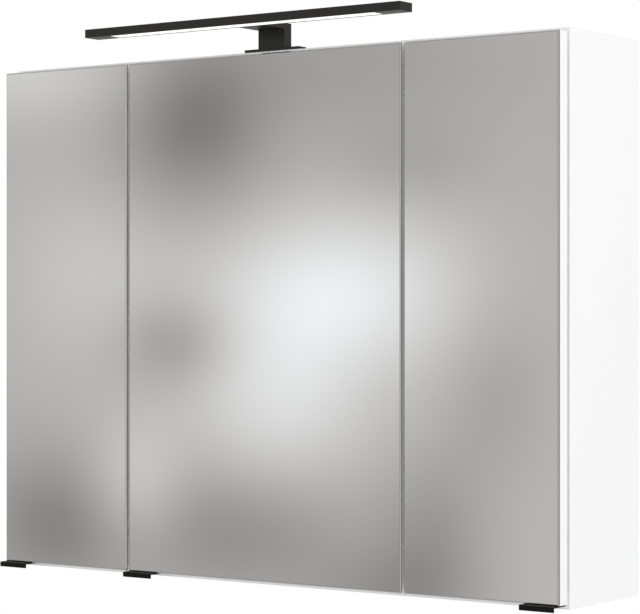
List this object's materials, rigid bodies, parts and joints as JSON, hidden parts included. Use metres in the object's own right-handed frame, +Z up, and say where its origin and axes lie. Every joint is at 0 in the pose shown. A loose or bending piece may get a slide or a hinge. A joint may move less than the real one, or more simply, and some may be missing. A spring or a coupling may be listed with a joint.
{
  "type": "medicine cabinet with mirror",
  "caption": "Wall-hung bathroom medicine cabinet with mirrored hinged doors, glass shelves, a black LED lamp bar on top and an inner switch and socket box.",
  "frame": {"origin": "midway between the two wall keyholes, on the wall plane", "axes": "+X to the right across the front, doors face -Y, wall at +Y side, +Z up"},
  "size_m": [0.8, 0.232, 0.664],
  "materials": {
    "white_board": "satin melamine",
    "back_board": "satin",
    "dowel_wood": "raw",
    "zinc": "zinc plated",
    "nickel": "nickel plated",
    "shelf_glass": "clear, polished edges",
    "silver_mirror": "polished, bevelled edge",
    "black_lamp": "satin powder coat",
    "black_handle": "satin powder coat",
    "diffuser": "opal",
    "circuit": "white solder mask",
    "dark_lead": "matte",
    "white_plastic": "satin",
    "brass_contact": "plain",
    "grey_plastic": "matte",
    "bumper": "translucent matte"
  },
  "bodies": {
    "case": {"side_left": "white_board", "side_right": "white_board", "top_panel": "white_board", "bottom_panel": "white_board", "partition_left": "white_board", "partition_right": "white_board", "back_panel": "back_board", "case_dowels": "dowel_wood", "cam_bolts": "zinc", "cam_locks": "zinc", "hanger_plate_left": "zinc", "hanger_plate_right": "zinc", "hanger_screws": "zinc", "shelf_left_lower": "shelf_glass", "shelf_left_upper": "shelf_glass", "shelf_middle_lower": "shelf_glass", "shelf_middle_upper": "shelf_glass", "shelf_right_lower": "shelf_glass", "shelf_right_upper": "shelf_glass", "shelf_pins": "nickel", "lamp_housing": "black_lamp", "lamp_diffuser": "diffuser", "led_strip": "circuit", "lamp_arm": "black_lamp", "lamp_post": "black_lamp", "lamp_base": "black_lamp", "lamp_screws": "black_lamp", "lamp_lead": "dark_lead", "lamp_driver": "white_plastic", "box_lead": "white_plastic", "lead_clips": "white_plastic", "power_box": "white_plastic", "box_cover": "white_plastic", "socket_insert": "white_plastic", "socket_contacts": "brass_contact", "mains_gland": "grey_plastic", "fitting_screws": "zinc", "hinge_arms": "nickel", "hinge_plates": "nickel", "hinge_screws": "zinc", "door_bumpers": "bumper"},
    "left_door": {"left_door_board": "white_board", "left_mirror": "silver_mirror", "left_handle": "black_handle", "left_door_screws": "zinc", "left_hinge_cups": "nickel", "left_hinge_pins": "zinc"},
    "middle_door": {"middle_door_board": "white_board", "middle_mirror": "silver_mirror", "middle_handle": "black_handle", "middle_door_screws": "zinc", "middle_hinge_cups": "nickel", "middle_hinge_pins": "zinc"},
    "right_door": {"right_door_board": "white_board", "right_mirror": "silver_mirror", "right_handle": "black_handle", "right_door_screws": "zinc", "right_hinge_cups": "nickel", "right_hinge_pins": "zinc"},
    "rocker": {"rocker_switch": "white_plastic"}
  },
  "joints": [
    {"name": "left_door_hinge", "type": "hinge", "parent": "case", "child": "left_door", "pos_m": [-0.213, -0.1772, -0.281], "axis": [0, 0, 1], "range_deg": [0, 95]},
    {"name": "middle_door_hinge", "type": "hinge", "parent": "case", "child": "middle_door", "pos_m": [0.187, -0.1772, -0.281], "axis": [0, 0, 1], "range_deg": [0, 90]},
    {"name": "right_door_hinge", "type": "hinge", "parent": "case", "child": "right_door", "pos_m": [0.213, -0.1772, -0.281], "axis": [0, 0, -1], "range_deg": [0, 90]},
    {"name": "rocker_tilt", "type": "hinge", "parent": "case", "child": "rocker", "pos_m": [0.354, -0.1035, -0.004], "axis": [1, 0, 0], "range_deg": [0, 12]}
  ]
}
